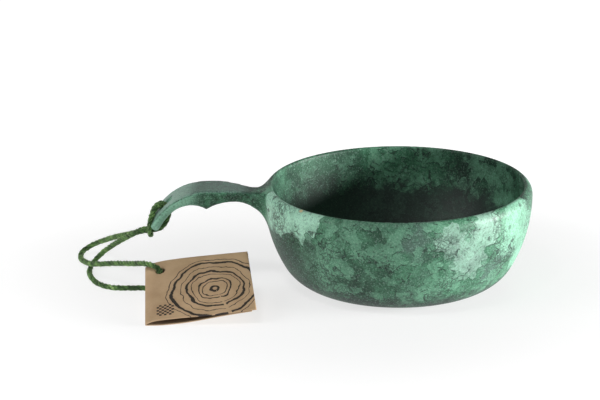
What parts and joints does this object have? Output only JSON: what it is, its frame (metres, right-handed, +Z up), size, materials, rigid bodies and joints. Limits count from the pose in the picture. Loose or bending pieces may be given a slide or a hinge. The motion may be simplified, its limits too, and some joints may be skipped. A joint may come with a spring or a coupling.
{
  "type": "kuksa cup",
  "caption": "Wide drinking bowl with a thin wall and one arched handle whose slotted tip carries a loop of twine with a folded card tag",
  "frame": {"origin": "centre of the bowl's flat base, on the surface it stands on", "axes": "+Z up along the bowl's axis; -X from the bowl along the handle to its tip; -Y towards the side where the tag lies"},
  "size_m": [0.2496, 0.145, 0.0551],
  "materials": {
    "cup": "satin moulded wood-fibre composite, mottled green with dark cracks and mint patches",
    "twine": "twisted soft twine in light and dark green plies",
    "card": null
  },
  "bodies": {
    "cup": {"cup_body": "cup", "lanyard_hitch": "twine"},
    "lanyard": {"lanyard_long_strand": "twine", "lanyard_short_strand": "twine", "lanyard_knot": "twine"},
    "tag": {"tag_back_leaf": "card"},
    "tag_cover": {"tag_front_leaf": "card"}
  },
  "joints": [
    {"name": "lanyard_swing", "type": "hinge", "parent": "cup", "child": "lanyard", "pos_m": [-0.131, -0.001, 0.03], "axis": [0, 0, 1], "range_deg": [-25, 8]},
    {"name": "tag_spin", "type": "hinge", "parent": "lanyard", "child": "tag", "pos_m": [-0.128, -0.0312, 0.016], "axis": [0, -0.2891, 0.9573], "range_deg": [0, 20]},
    {"name": "tag_opening", "type": "hinge", "parent": "tag", "child": "tag_cover", "pos_m": [-0.1345, -0.0714, 0.0006], "axis": [0.0366, -0.9567, -0.2888], "range_deg": [0, 10]}
  ]
}
